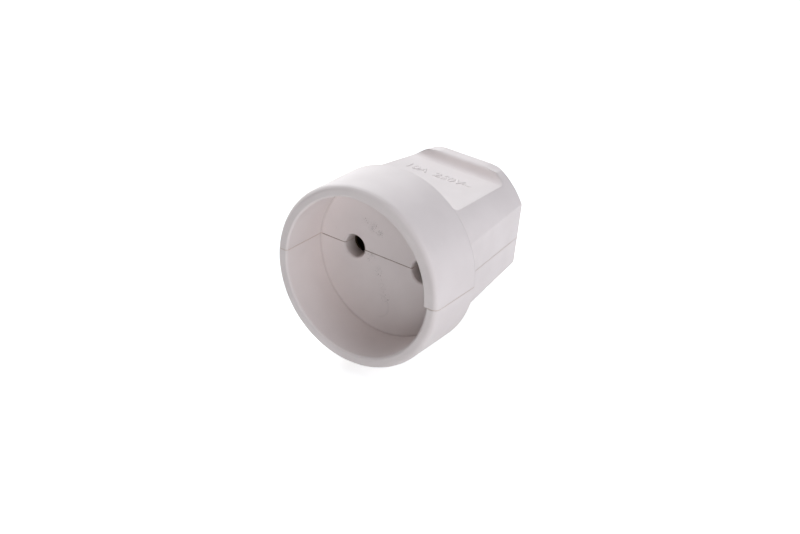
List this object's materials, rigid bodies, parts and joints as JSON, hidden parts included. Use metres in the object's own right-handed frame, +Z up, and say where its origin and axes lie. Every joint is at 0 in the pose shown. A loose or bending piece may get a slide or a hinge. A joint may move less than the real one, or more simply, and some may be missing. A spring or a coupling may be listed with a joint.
{
  "type": "inline socket connector",
  "caption": "White inline socket for a round plug: cup with pin holes, tapered grip with flat sides, thumb recess and rear ridge, split along the pins, with inner contacts and cord clamp.",
  "frame": {"origin": "on the floor, under the middle of the part's bounding box", "axes": "+Z up as the socket lies at rest; +Y from the mouth of the cup to the cord entry, so the plug's axis slopes down towards the rear by 9.61 degrees; +X to the right seen from the mouth"},
  "size_m": [0.0446, 0.0518, 0.0464],
  "materials": {
    "housing": "satin",
    "contact": "satin",
    "fastener": "zinc plated",
    "clamp": "matte"
  },
  "bodies": {
    "root": {"upper_shell": "housing", "lower_shell": "housing", "cord_clamp_bar": "clamp", "left_contact": "contact", "right_contact": "contact", "left_contact_spring": "fastener", "right_contact_spring": "fastener", "left_terminal_screw": "fastener", "right_terminal_screw": "fastener", "left_clamp_screw": "fastener", "right_clamp_screw": "fastener", "housing_screw": "fastener"}
  },
  "joints": []
}
